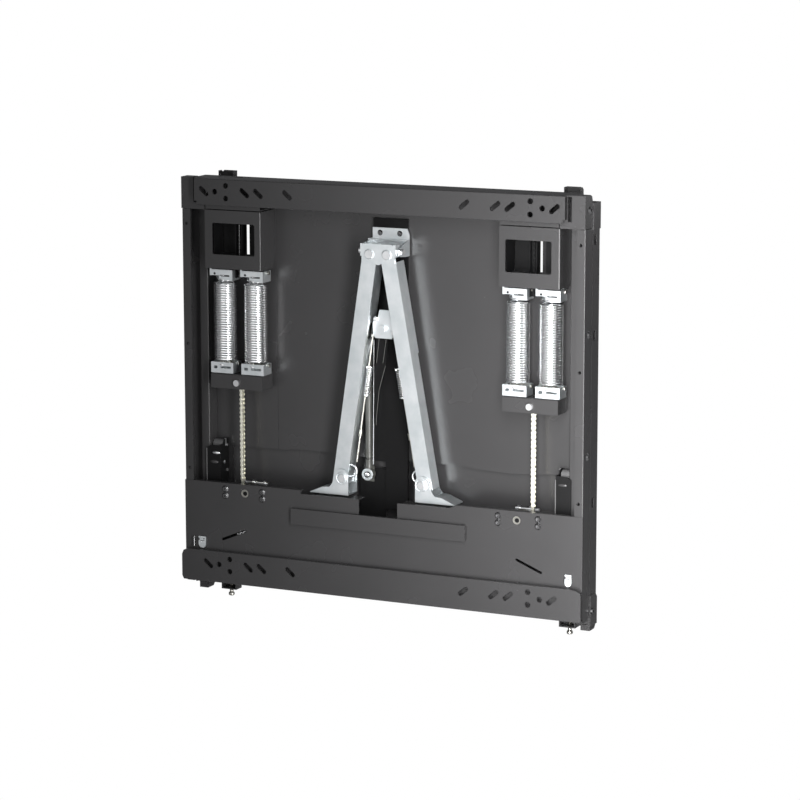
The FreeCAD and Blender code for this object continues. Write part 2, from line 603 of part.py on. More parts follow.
# ---- latches ------------------------------------------------------------------
for side, sg in SIDES:
    x, z = sg * D.latch_x, -D.latch_z
    o0, o1 = span(sg, D.latch_x + 5, D.latch_x + 13)
    i0, i1 = span(sg, D.latch_x - 13, D.latch_x + 5)
    lp = fuse(box(i0, i1, 11.4, 13.6, z - 2, z + 12.5), box(o0, o1, 11.4, 13.6, z - 4, z + 6), cyl("Y", x - 4 * sg, 11.4, z - 2, 9, 2.2),
              cyl("Y", x, 8.6, z, 5, 5), cyl("Y", x, 8.6, z, 5, 9))
    node(minus(lp, cyl("Y", x, 8, z, 2.2, 20), cyl("Y", x - 8 * sg, 8, z - 5, 1.8, 20)), "latch_" + side)

# ---- wall frame -----------------------------------------------------------------
base_feet = []
for side, sg in SIDES:
    b = body("side_channel_" + side)
    w0, w1 = span(sg, D.half_width - t, D.half_width)
    c0, c1 = span(sg, 436, D.half_width)
    pad(b, "YZ", w0, w1, lambda s: rect(s, D.channel_front, D.channel_rear, -D.channel_low + 12, D.channel_high))
    pad(b, "XZ", D.channel_rear - t, D.channel_rear, lambda s: rect(s, c0, c1, -D.channel_low + 12, D.channel_high))
    pad(b, "XZ", D.channel_front + 3, D.channel_front + 3 + t, lambda s: rect(s, c0, c1, -D.channel_low + 12, D.channel_high - 20))
    n0, n1 = span(sg, D.half_width, D.half_width + 2)
    pad(b, "YZ", n0, n1, lambda s: rect(s, D.channel_front, D.channel_rear, 355, D.channel_high))

    def oblongs(s):
        for z in (334.6, 140.2, -203.4):
            slot(s, 70, z, 0, 5, 6.3)
        slot(s, 68, -396, 0, 8, 2)
        circ(s, 66.6, -429.6, 3.6)

    cut(b, "YZ", w0 - 1, w1 + 1, oblongs)
    node(b, "side_channel_" + side)

    b = body("guide_rail_" + side)
    x0, x1 = span(sg, D.guide_inner, D.guide_outer)
    pad(b, "XY", -445, 405, lambda s: rect(s, x0, x1, D.guide_front, D.guide_rear))
    cut(b, "XY", -446, 406, lambda s: rect(s, x0 + 2.5, x1 - 2.5, D.guide_front + 2.5, D.guide_rear - 2.5))
    fillet(b, lambda e: along(e, "z") and e.Length > 800 and (abs(e.CenterOfMass.y - 47) < 0.2 or abs(e.CenterOfMass.y - 90) < 0.2), 2)
    node(b, "guide_rail_" + side)

    b = body("wall_rail_" + side)
    x0, x1 = span(sg, D.wall_rail_inner, D.wall_rail_outer)
    fl0, fl1 = span(sg, D.wall_rail_outer - t, D.wall_rail_outer)
    in0, in1 = span(sg, D.wall_rail_inner, D.wall_rail_inner + t)
    back = D.overall_depth
    cx = 1 if sg > 0 else 0
    corner = [(x0, -D.wall_rail_low), (x1, -D.wall_rail_low), (x1, D.wall_rail_high - 6 * cx), (x1 - 6 * cx, D.wall_rail_high), (x0 + 6 * (1 - cx), D.wall_rail_high), (x0, D.wall_rail_high - 6 * (1 - cx))]
    pad(b, "XZ", back - t, back, lambda s: poly(s, [p for k, p in enumerate(corner) if k not in ((4,) if cx else (2,))]))
    fl = [(D.wall_rail_front, -D.wall_rail_low), (back, -D.wall_rail_low), (back, D.wall_rail_high - 5), (109, D.wall_rail_high), (98, D.wall_rail_high), (98, 412), (D.wall_rail_front, 408),
          (84.2, 403), (84.2, -453), (D.wall_rail_front, -459)]
    pad(b, "YZ", fl0, fl1, lambda s: poly(s, fl))
    pad(b, "YZ", in0, in1, lambda s: poly(s, fl))
    pad(b, "XY", -D.wall_rail_low, t - D.wall_rail_low, lambda s: rect(s, x0, x1, D.wall_rail_front, back))

    def wall_holes(s):
        for z in (-1, 1):
            circ(s, sg * D.screw_x, z * D.wall_hole_z, D.wall_hole_r)
        slot(s, sg * D.screw_x.v, 0, 0, 12, 5)

    cut(b, "XZ", back - t - 1, back + 1, wall_holes)
    cut(b, "XY", -D.wall_rail_low - 1, t + 1 - D.wall_rail_low, lambda s: circ(s, sg * D.screw_x, D.screw_y, 4.06))
    cut(b, "YZ", x0 - 1, x1 + 1, lambda s: circ(s, 105, 424, 2.5))
    node(b, "wall_rail_" + side)

    sx = sg * D.screw_x
    scr = fuse(cyl("Z", sx, D.screw_y, -486, 4, 46), cyl("Z", sx, D.screw_y, -486, 7, 5), cyl("Z", sx, D.screw_y, -444, 6.5, 4),
               box(sx - 3.5, sx + 3.5, D.screw_y - 6, D.screw_y + 6, -494, -485.5))
    node(minus(scr, box(sx - 4, sx + 4, D.screw_y - 2, D.screw_y + 2, -495, -489)), "levelling_screw_" + side)

    # foot under each side
    b = body("base_foot_" + side)
    x0, x1 = span(sg, 434, 454)
    pad(b, "YZ", x0, x1, lambda s: poly(s, [(67, -472.5), (93, -472.5), (99, -466), (99, -458), (67, -458)]))
    s0, s1 = span(sg, 434, 459.3)
    near_y = 57 if sg > 0 else 80
    pad(b, "XY", -460.5, -457.6, lambda s: rect(s, s0, s1, near_y, 94))
    s0, s1 = span(sg, 457.3, 459.3)
    pad(b, "YZ", s0, s1, lambda s: poly(s, ([(57, -460.5)] if sg > 0 else [(57, -446), (80, -446), (80, -460.5)]) + [(94, -460.5), (94, -404), (86, -396), (57, -396)]))
    cut(b, "YZ", s0 - 1, s1 + 1, lambda s: circ(s, 66.6, -429.6, 6.6))
    base_feet.append(b)
node(group("base_feet", base_feet), "base_feet")

b = body("back_panel")
ph = D.panel_half
P0 = D.panel_front
P1 = P0 + D.panel_gauge
low = -D.panel_low
# the outer thirds stand proud of the middle field by one gauge
pad(b, "XZ", P0, P1, lambda s: poly(s, [(-ph, -457), (-378, -457), (-378, low), (-267.3, low), (-267.3, D.panel_high), (-ph, D.panel_high)]))
pad(b, "XZ", P0, P1, lambda s: poly(s, [(ph, -457), (378, -457), (378, low), (267.3, low - 7), (267.3, D.panel_high), (ph, D.panel_high)]))
pad(b, "XZ", P1, P1 + D.panel_gauge, lambda s: poly(s, [(-268.8, low), (-244, low), (-238, low + 3), (-137, low + 3), (-131, low), (131, low), (137, low + 3),
                                                        (190, low - 4), (268.8, low - 7), (268.8, D.panel_high), (-268.8, D.panel_high)]))
for sg in (-1, 1):
    e0, e1 = span(sg, 267.3, 268.8)
    pad(b, "YZ", e0, e1, lambda s: rect(s, P0, P1 + D.panel_gauge, -154, D.panel_high))
pad(b, "XY", D.panel_high - 1.5, D.panel_high, lambda s: rect(s, -ph, ph, P0 - 14, P0 + 0.5))


def slits(s):
    for sg in (-1, 1):
        rect(s, *span(sg, 331.7, 338.4), 260, 352)
    rect(s, -46.4, -42, -149.5, 396)


cut(b, "XZ", P0 - 0.5, P1 + 0.5, slits)
node(b, "back_panel")

b = body("lower_panel")
pad(b, "XZ", 93, 94.5, lambda s: rect(s, -376.5, 376.5, -455, -150.5))
pad(b, "XY", -455, -453.5, lambda s: rect(s, -376.5, 376.5, 93.5, 112))
node(b, "lower_panel")

b = body("top_cover")
pad(b, "XY", 424.3, 426.3, lambda s: rect(s, -430, 430, 16.5, 72))
pad(b, "XZ", 70, 72, lambda s: rect(s, -430, 430, 409.5, 425))
for sg in (-1, 1):
    e0, e1 = span(sg, 428, 430)
    pad(b, "YZ", e0, e1, lambda s: rect(s, 17, 72, 409.5, 425))
cut(b, "XY", 423, 428, lambda s: [slot(s, sg * 336, 48, 6, 0, 5) for sg in (-1, 1)])
node(b, "top_cover")

b = body("centre_channel")
# shallow channel that stands in front of the panel, notched at its lower left
pad(b, "XZ", 78, 80, lambda s: poly(s, [(-39, -160), (-12, -160), (-12, -262), (39, -262), (39, 353), (-39, 353)]))
pad(b, "YZ", -39, -37, lambda s: rect(s, 78, 83.2, -160, 353))
pad(b, "YZ", 37, 39, lambda s: rect(s, 78, 83.2, -262, 353))
pad(b, "XY", 351, 353, lambda s: rect(s, -39, 39, 78, 83.2))
node(b, "centre_channel")

# ---- strut bracket and damper -----------------------------------------------------
hy, hz = D.hinge_y, D.hinge_z
zg = q(2.5)
b = body("strut_bracket")
pad(b, "XZ", 75.2, 77.7, lambda s: poly(s, [(-39.4, 278), (44, 278), (44, 322), (39.4, 334), (-39.4, 334)]))
pad(b, "YZ", 41.5, 44, lambda s: poly(s, [(77, 278), (77, 312), (60, 308), (hy + 3, hz + 12), (hy - 9, hz + 6), (hy - 9, hz - 6), (hy - 4, hz - 9), (60, 278)]))
pad(b, "YZ", -44, -41.5, lambda s: poly(s, [(77, 278), (77, 312), (60, 308), (hy + 3, hz + 12), (hy - 9, hz + 6), (hy - 9, hz - 6), (hy - 4, hz - 9), (60, 278)]))
pad(b, "XZ", 75.2, 77.7, lambda s: rect(s, -44, -39, 278, 312))
pad(b, "XY", 309.5, 312, lambda s: rect(s, -44, 44, 62, 77))
cut(b, "XZ", 74, 79, lambda s: [circ(s, sg * 22.4, 323.3, 4.2) for sg in (-1, 1)])
cut(b, "YZ", -46, 46, lambda s: circ(s, hy, hz, 4.05))
node(b, "strut_bracket")
node(fuse(cyl("X", -48, hy, hz, 4, 96), cyl("X", -50, hy, hz, 7, 5.7), cyl("X", 44.3, hy, hz, 7, 5.7)), "strut_pin")

dx, dy = -D.damper_x, D.damper_y
tube = minus(fuse(cyl("Z", dx, dy, -D.damper_low, D.damper_r, D.damper_high + D.damper_low), cyl("Z", dx, dy, -152, 7.9, 8),
                  box(dx - 4, dx + 4, dy, 83.2, 244, 266)), cyl("Z", dx, dy, -D.damper_low - 5, D.damper_bore, D.damper_high + D.damper_low - 8))
node(tube, "damper_cylinder")
rod = fuse(cyl("Z", dx, dy, -186, D.damper_rod, 441), cyl("Z", dx, dy, -176, 7.5, 20), cyl("Y", dx, 66, -188, 12.5, 13.2), box(dx - 13.5, dx + 9, 79, 81.5, -205, -172))
rod = minus(rod, cyl("Y", dx, 60, -188, 5, 24))
node(rod, "damper_rod")
# stay that joins the damper eye to the apron
b = body("damper_stay")
pad(b, "XZ", 83, 85.5, lambda s: rect(s, -74, -14, -290, -176))
pad(b, "XY", -290, -287, lambda s: rect(s, -74, -14, A + t + 0.3, 85.5))
pad(b, "XZ", A + t + 0.3, A + t + 3, lambda s: rect(s, -74, -14, -315, -287))
node(fuse(b, cyl("Y", dx, 62.8, -188, 4.8, 21), cyl("Y", dx, 62.8, -188, 6.5, 2.8)), "damper_stay")

# ---- guide blocks with rollers -----------------------------------------------------
axles = []
for side, sg in SIDES:
    x0, x1 = span(sg, 386, 389)
    b = body("guide_block_" + side)
    # cranked plate from the apron's back to the roller axles
    pad(b, "YZ", x0, x1, lambda s: poly(s, [(A + t + 0.3, -300), (60, -300), (78.5, -222), (78.5, -139), (64, -139), (60, -149), (43.4, -149), (43.4, -232), (A + t + 0.3, -250)]))
    f0, f1, f2 = sg * 386, sg * 412, sg * 419.5
    # cover in front of the rollers and of the guide rail's edge
    pad(b, "XZ", 43.4, 45.6, lambda s: poly(s, [(f0, -149), (f1, -151), (f2, -156), (f2, -232), (f0, -232)]))
    k0, k1 = span(sg, 386, 411)
    pad(b, "XZ", A + t + 0.3, A + t + 2.8, lambda s: rect(s, k0, k1, -300, -252))
    cut(b, "YZ", x0 - 1, x1 + 1, lambda s: [circ(s, D.roller_y, z, 3.05) for z in (-D.roller_high, -D.roller_low)])
    node(b, "guide_block_" + side)
    for nm, z in (("upper", -D.roller_high), ("lower", -D.roller_low)):
        s0, s1 = span(sg, 391, 413)
        a0, a1 = span(sg, 384, 391.5)
        node(fuse(cyl("X", s0, D.roller_y, z, D.roller_r, s1 - s0), cyl("X", a0, D.roller_y, z, 3, a1 - a0)), "guide_roller_%s_%s" % (nm, side))

# ---- folding strut --------------------------------------------------------------------
b = body("strut_head")
hf = D.head_front
hh = D.head_half
pad(b, "XZ", hf, hf + zg, lambda s: poly(s, [(-hh, D.head_low), (-10, D.head_low), (-3, D.head_low - 4), (3, D.head_low - 4), (10, D.head_low), (hh, D.head_low), (hh, D.head_high - 6), (hh - 6, D.head_high),
                                             (6 - hh, D.head_high), (-hh, D.head_high - 6)]))
for sg in (-1, 1):
    e0, e1 = span(sg, hh + 0.3, hh + 2.8)
    pad(b, "YZ", e0, e1, lambda s: poly(s, [(hf, D.head_low + 13), (hy + 4, hz - 9), (hy + 9, hz - 4), (hy + 9, hz + 6), (hy + 4, D.head_high), (hf, D.head_high)]))
    c0, c1 = span(sg, hh - 3, hh + 2.8)
    pad(b, "XZ", hf, hf + zg, lambda s: rect(s, c0, c1, D.head_low + 13, D.head_high))
cut(b, "YZ", -45, 45, lambda s: circ(s, hy, hz, 4.1))
cut(b, "XZ", hf - 1, hf + 4, lambda s: [circ(s, sg * D.rivet_x, D.rivet_z, 4) for sg in (-1, 1)])
node(b, "strut_head")


def leg_xform(sg):
    """Leg frame: origin at the rivet, -Z down the leg."""
    m = FreeCAD.Rotation(FreeCAD.Vector(0, 1, 0), D.leg_lean.v * (1 if sg < 0 else -1))
    n = FreeCAD.Rotation(FreeCAD.Vector(1, 0, 0), D.leg_tilt.v)
    return FreeCAD.Placement(FreeCAD.Vector(sg * 19.9, hf.v + 3.2, D.rivet_z.v), n.multiply(m))


for side, sg in SIDES:
    P = leg_xform(sg)
    W, dep = D.leg_width.v, D.leg_depth.v
    L = 508.0
    V = FreeCAD.Vector
    web = Part.makeBox(W, 2, L, V(-W / 2, 0, -L + 12))
    fo = Part.makeBox(2, dep, L - 30, V(-W / 2, 0, -L + 12))
    fi = Part.makeBox(2, dep, L - 30, V(W / 2 - 2, 0, -L + 12))
    leg = web.fuse(fo).fuse(fi)
    inner_x = W / 2 if sg < 0 else -W / 2
    # rear edge stepped back over the lower part, clear of the damper
    leg = leg.cut(Part.makeBox(W + 2, 10, 283.0, V(-W / 2 - 1, D.leg_depth_low.v, -496)))
    # six-sided window in the inner flange
    win = [(8, -151), (17, -144), (27, -151), (27, -178), (18, -185), (8, -178)]
    wire = Part.makePolygon([V(inner_x - 3, a, c) for a, c in win] + [V(inner_x - 3, win[0][0], win[0][1])])
    leg = leg.cut(Part.Face(wire).extrude(V(6, 0, 0)))
    leg = leg.cut(Part.makeCylinder(4.2, 8, V(0, -2, 0), V(0, 1, 0)))
    # foot hinge pin hole at the lower end
    leg = leg.cut(Part.makeCylinder(4.3, 8, V(-6.25 * sg, -2, -484.2), V(0, 1, 0)))
    leg = leg.removeSplitter()
    leg.Placement = P
    o = doc.addObject("Part::Feature", uid("Leg"))
    o.Shape = leg.copy()
    node(group("leg_" + side, [o]), "leg_" + side)

rv = []
for sg in (-1, 1):
    P = leg_xform(sg)
    o = doc.addObject("Part::Feature", uid("Rivet"))
    hd = Part.makeCylinder(8.5, 2.9, FreeCAD.Vector(sg * 19.9, 14, D.rivet_z.v), FreeCAD.Vector(0, 1, 0))
    st = Part.makeCylinder(3.9, 12, FreeCAD.Vector(sg * 19.9, 14, D.rivet_z.v), FreeCAD.Vector(0, 1, 0))
    o.Shape = hd.fuse(st)
    rv.append(o)

for side, sg in SIDES:
    fx, fz = sg * 91.1, -D.foot_z.v
    y0, y1 = 31.5, 74.5
    V = FreeCAD.Vector

    def plate(pts, a, c):
        w = Part.makePolygon([V(fx + sg * u, a, fz + v) for u, v in pts] + [V(fx + sg * pts[0][0], a, fz + pts[0][1])])
        return Part.Face(w).extrude(V(0, c - a, 0))

    # front cheek with the long toe, rear cheek, sole
    cheek = [(-14, -36.4), (-14, 9), (-11, 14), (-5, 18), (2, 19), (9, 17.5), (15, 13), (18.5, 6), (20.5, -4), (24, -13), (30, -21), (46, -22.5), (60, -28.5), (75, -34.5),
             (75.5, -36.4), (60, -36.4), (30, -36.4)]
    # the toe's upper edge is folded back between the cheeks
    brow = [(30, -21), (46, -22.5), (60, -28.5), (75, -34.5), (75.4, -35.9), (59.4, -30.4), (45.6, -24.5), (29.4, -23)]
    f = plate(cheek, y0, y0 + 2).fuse(plate(cheek, y1 - 2, y1)).fuse(plate(brow, y0 + 1, y1 - 1)).fuse(plate([(-14, -36.4), (75.5, -36.4), (75.2, -34.5), (-14, -34.5)], y0, y1))
    f = f.cut(Part.makeCylinder(4.05, 60, V(fx, 20, fz), V(0, 1, 0)))
    o = doc.addObject("Part::Feature", uid("Foot"))
    o.Shape = f.removeSplitter()
    node(group("foot_" + side, [o]), "foot_" + side)
rv += [fuse(cyl("Y", sg * 91.1, 28, -D.foot_z, 4, 50), cyl("Y", sg * 91.1, 28, -D.foot_z, 7.5, 3.2)) for sg in (-1, 1)]
node(group("strut_rivets", rv), "strut_rivets")

b = body("release_plate")
pad(b, "XZ", 40, 42.5, lambda s: poly(s, [(-7.6, 167.5), (14, 167.5), (17, 150), (20.5, 146), (22.3, 134), (22.3, 112), (20, 108), (-17, 108), (-22.5, 116), (-22.5, 141), (-12, 150)]))
pad(b, "XZ", 33, 40.2, lambda s: circ(s, 0, 128, 7))
node(b, "release_plate")

rods, sprs = [], []
for sg in (-1, 1):
    V = FreeCAD.Vector
    top = V(sg * 25, 44.5, 112)
    bot = V(sg * 66.5, 52, -160)
    d = bot - top
    r = Part.makeCylinder(1.8, d.Length, top, d).fuse(Part.makeCylinder(4, 14, top + d * 0.74, d))
    r = r.fuse(Part.makeCylinder(3.5, 6, top - V(0, 2, 0), V(0, 1, 0)))
    o = doc.addObject("Part::Feature", uid("Rod"))
    o.Shape = r
    rods.append(o)
    s0 = top + d * 0.246
    u = V(d).normalize()
    o2 = doc.addObject("Part::Feature", uid("RodSpring"))
    o2.Shape = Part.makeCylinder(4.2, 60, s0, u).cut(Part.makeCylinder(2.2, 62, s0 - u, u))
    sprs.append(o2)
node(group("release_rods", rods), "release_rods")
node(group("leg_springs", sprs), "leg_springs")

# ---- frame bolts on the side channels -----------------------------------------------
fb = []
for sg in (-1, 1):
    fb.append(minus(fuse(cyl("X", 457.3 if sg > 0 else -462.3, 66.6, -429.6, 6.2, 5), cyl("X", 446 if sg > 0 else -457.5, 66.6, -429.6, 3.5, 11.5)),
                    cyl("X", 460 if sg > 0 else -463, 66.6, -429.6, 2.6, 3)))
fb += [button_y(sg * 22.4, 323.3, 75.2, 6, 2.6, 4.0, 2.6) for sg in (-1, 1)]
node(group("frame_screws", fb), "frame_screws")

# ---- check and write ------------------------------------------------------------------
doc.recompute()
bad = [o.Name for o in doc.Objects if "Invalid" in o.State or "Error" in o.State]
if bad:
    raise RuntimeError("objects in error: " + ", ".join("%s (%s)" % (n, doc.getObject(n).Label) for n in bad[:12]))
for label, obj in NODES:
    s = obj.Shape
    if s.isNull() or not s.isValid() or not s.Solids:
        raise RuntimeError("bad shape: " + label)
    bb = s.BoundBox
    print("%-26s solids %2d vol %10.0f  X %7.1f %7.1f  Y %7.1f %7.1f  Z %7.1f %7.1f" % (label, len(s.Solids), s.Volume, bb.XMin, bb.XMax, bb.YMin, bb.YMax, bb.ZMin, bb.ZMax))
    s.exportStep("parts/%s.step" % label)
print("nodes", len(NODES))
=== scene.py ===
import json
import math

import bpy
import bmesh
from mathutils import Matrix, Vector

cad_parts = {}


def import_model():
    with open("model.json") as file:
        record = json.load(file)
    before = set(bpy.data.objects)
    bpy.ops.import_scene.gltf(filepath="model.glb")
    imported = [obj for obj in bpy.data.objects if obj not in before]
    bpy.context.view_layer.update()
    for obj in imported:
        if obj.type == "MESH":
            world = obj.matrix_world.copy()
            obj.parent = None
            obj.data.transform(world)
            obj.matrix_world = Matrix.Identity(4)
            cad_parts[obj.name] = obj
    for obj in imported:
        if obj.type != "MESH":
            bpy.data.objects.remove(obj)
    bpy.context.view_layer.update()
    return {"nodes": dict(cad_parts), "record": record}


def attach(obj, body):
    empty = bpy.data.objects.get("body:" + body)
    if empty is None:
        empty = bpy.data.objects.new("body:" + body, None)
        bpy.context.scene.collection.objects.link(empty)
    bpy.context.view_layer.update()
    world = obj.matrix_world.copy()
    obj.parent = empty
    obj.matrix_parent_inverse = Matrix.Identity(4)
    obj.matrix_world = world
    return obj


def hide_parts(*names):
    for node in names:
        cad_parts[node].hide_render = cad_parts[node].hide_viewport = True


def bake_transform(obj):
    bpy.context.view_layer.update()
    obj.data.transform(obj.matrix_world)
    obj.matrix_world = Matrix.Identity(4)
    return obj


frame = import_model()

NODES = frame["nodes"]
RECORD = frame["record"]
SLOT = {s["node"]: s["material_slot"] for s in RECORD["subparts"]}


# ---- materials ---------------------------------------------------------------
def base_material(name):
    m = bpy.data.materials.new(name)
    m.use_nodes = True
    nt = m.node_tree
    nt.nodes.clear()
    out = nt.nodes.new("ShaderNodeOutputMaterial")
    bs = nt.nodes.new("ShaderNodeBsdfPrincipled")
    nt.links.new(bs.outputs["BSDF"], out.inputs["Surface"])
    geo = nt.nodes.new("ShaderNodeNewGeometry")
    return m, nt, bs, geo


def noise(nt, geo, scale, detail=2.0, rough=0.5, stretch=None):
    n = nt.nodes.new("ShaderNodeTexNoise")
    n.inputs["Scale"].default_value = scale
    n.inputs["Detail"].default_value = detail
    n.inputs["Roughness"].default_value = rough
    if stretch:
        mp = nt.nodes.new("ShaderNodeMapping")
        mp.inputs["Scale"].default_value = stretch
        nt.links.new(geo.outputs["Position"], mp.inputs["Vector"])
        nt.links.new(mp.outputs["Vector"], n.inputs["Vector"])
    else:
        nt.links.new(geo.outputs["Position"], n.inputs["Vector"])
    return n


def ramp(nt, src, lo, hi, c0, c1):
    r = nt.nodes.new("ShaderNodeValToRGB")
    r.color_ramp.elements[0].position = lo
    r.color_ramp.elements[1].position = hi
    r.color_ramp.elements[0].color = (*c0, 1)
    r.color_ramp.elements[1].color = (*c1, 1)
    nt.links.new(src, r.inputs["Fac"])
    return r


def span(nt, src, lo, hi):
    mr = nt.nodes.new("ShaderNodeMapRange")
    mr.inputs["To Min"].default_value = lo
    mr.inputs["To Max"].default_value = hi
    nt.links.new(src, mr.inputs["Value"])
    return mr


def bump(nt, bs, src, strength, distance):
    b = nt.nodes.new("ShaderNodeBump")
    b.inputs["Strength"].default_value = strength
    b.inputs["Distance"].default_value = distance
    nt.links.new(src, b.inputs["Height"])
    nt.links.new(b.outputs["Normal"], bs.inputs["Normal"])


def coated(name, dark, light, rough, spec=0.5, grain=900.0, grain_h=0.00006):
    """Powder coat or paint: fine orange-peel grain and faint uneven gloss."""
    m, nt, bs, geo = base_material(name)
    big = noise(nt, geo, 9.0, 3.0)
    fine = noise(nt, geo, grain, 2.0, 0.6)
    r = ramp(nt, big.outputs["Fac"], 0.3, 0.7, dark, light)
    nt.links.new(r.outputs["Color"], bs.inputs["Base Color"])
    rr = span(nt, big.outputs["Fac"], rough - 0.015, rough + 0.015)
    nt.links.new(rr.outputs["Result"], bs.inputs["Roughness"])
    bs.inputs["Specular IOR Level"].default_value = spec
    bump(nt, bs, fine.outputs["Fac"], 0.5, grain_h)
    return m


def metal(name, dark, light, rough, spread=0.08, scale=40.0, stretch=None, grain=300.0, grain_h=0.00004, metallic=1.0):
    """Zinc plating or bright steel: faint mottling in tone and gloss."""
    m, nt, bs, geo = base_material(name)
    big = noise(nt, geo, scale, 3.0, 0.55, stretch)
    fine = noise(nt, geo, grain, 2.0, 0.5, stretch)
    r = ramp(nt, big.outputs["Fac"], 0.3, 0.7, dark, light)
    nt.links.new(r.outputs["Color"], bs.inputs["Base Color"])
    rr = span(nt, big.outputs["Fac"], rough - spread, rough + spread)
    nt.links.new(rr.outputs["Result"], bs.inputs["Roughness"])
    bs.inputs["Metallic"].default_value = metallic
    bump(nt, bs, fine.outputs["Fac"], 0.4, grain_h)
    return m


MAT = {
    "black_powder_coat": coated("black_powder_coat", (0.0235, 0.0231, 0.0237), (0.0255, 0.0250, 0.0257), 0.27, 0.40, 1100.0, 0.00002),
    "zinc_plated_steel": metal("zinc_plated_steel", (0.62, 0.665, 0.68), (0.74, 0.765, 0.78), 0.42, 0.06, 30.0, None, 300.0, 0.00002),
    "spring_wire": metal("spring_wire", (0.93, 0.935, 0.945), (0.96, 0.965, 0.97), 0.22, 0.01, 60.0, None, 300.0, 0.000001),
    "chain_steel": metal("chain_steel", (0.78, 0.765, 0.66), (0.88, 0.865, 0.76), 0.42, 0.06, 120.0, None, 300.0, 0.00001),
    "bright_steel": metal("bright_steel", (0.70, 0.71, 0.72), (0.80, 0.81, 0.82), 0.30, 0.05, 80.0, None, 300.0, 0.00001),
    "black_screw": metal("black_screw", (0.13, 0.13, 0.133), (0.17, 0.17, 0.173), 0.26, 0.05, 90.0, None, 300.0, 0.00001),
    # matt_black is near-black and is also used below for painted shade
    "matt_black": coated("matt_black", (0.0032, 0.0032, 0.0034), (0.0042, 0.0042, 0.0044), 0.50, 0.12, 1200.0, 0.00002),
    # roller_plastic is also used below for painted highlights on the box folds and the roller covers' edges
    "roller_plastic": coated("roller_plastic", (0.07, 0.07, 0.071), (0.09, 0.09, 0.091), 0.35, 0.5, 1200.0, 0.00002),
    "damper_paint": coated("damper_paint", (0.040, 0.041, 0.037), (0.050, 0.051, 0.047), 0.34, 0.45, 500.0, 0.00001),
}


def dress(obj, slot):
    obj.data.materials.clear()
    obj.data.materials.append(MAT[slot])


def soften(obj, width=0.0004, segments=2, angle=35):
    """Small rounded edges that catch the light, as folded and cut sheet has."""
    b = obj.modifiers.new("edge", "BEVEL")
    b.width = width
    b.segments = segments
    b.limit_method = "ANGLE"
    b.angle_limit = math.radians(angle)
    b.harden_normals = True
    b.miter_outer = "MITER_ARC"


for name, obj in NODES.items():
    dress(obj, SLOT[name])
    for p in obj.data.polygons:
        p.use_smooth = True
    try:
        obj.data.set_sharp_from_angle(angle=math.radians(30))
    except AttributeError:
        pass


# painted shade: these parts are drawn in near-black matt, darker than their own finish, for the shade they stand in
for name in ("guide_block_left", "guide_block_right", "damper_stay"):
    dress(NODES[name], "matt_black")
dress(NODES["damper_rod"], "damper_paint")
MAT["burnished_steel"] = metal("burnished_steel", (0.33, 0.325, 0.30), (0.45, 0.44, 0.40), 0.30, 0.06, 220.0, None, 300.0, 0.00002)
for name in ("adjuster_left", "adjuster_right", "release_rods"):
    dress(NODES[name], "burnished_steel")


# ---- mesh helpers ------------------------------------------------------------
def piece(name, verts, faces, slot, body, smooth=True, angle=35):
    me = bpy.data.meshes.new(name)
    me.from_pydata([tuple(v) for v in verts], [], faces)
    me.validate()
    bm = bmesh.new()
    bm.from_mesh(me)
    bmesh.ops.recalc_face_normals(bm, faces=bm.faces)
    bm.to_mesh(me)
    bm.free()
    o = bpy.data.objects.new(name, me)
    bpy.context.scene.collection.objects.link(o)
    if smooth:
        for p in me.polygons:
            p.use_smooth = True
        me.set_sharp_from_angle(angle=math.radians(angle))
    dress(o, slot)
    if body:
        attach(o, body)
    return o


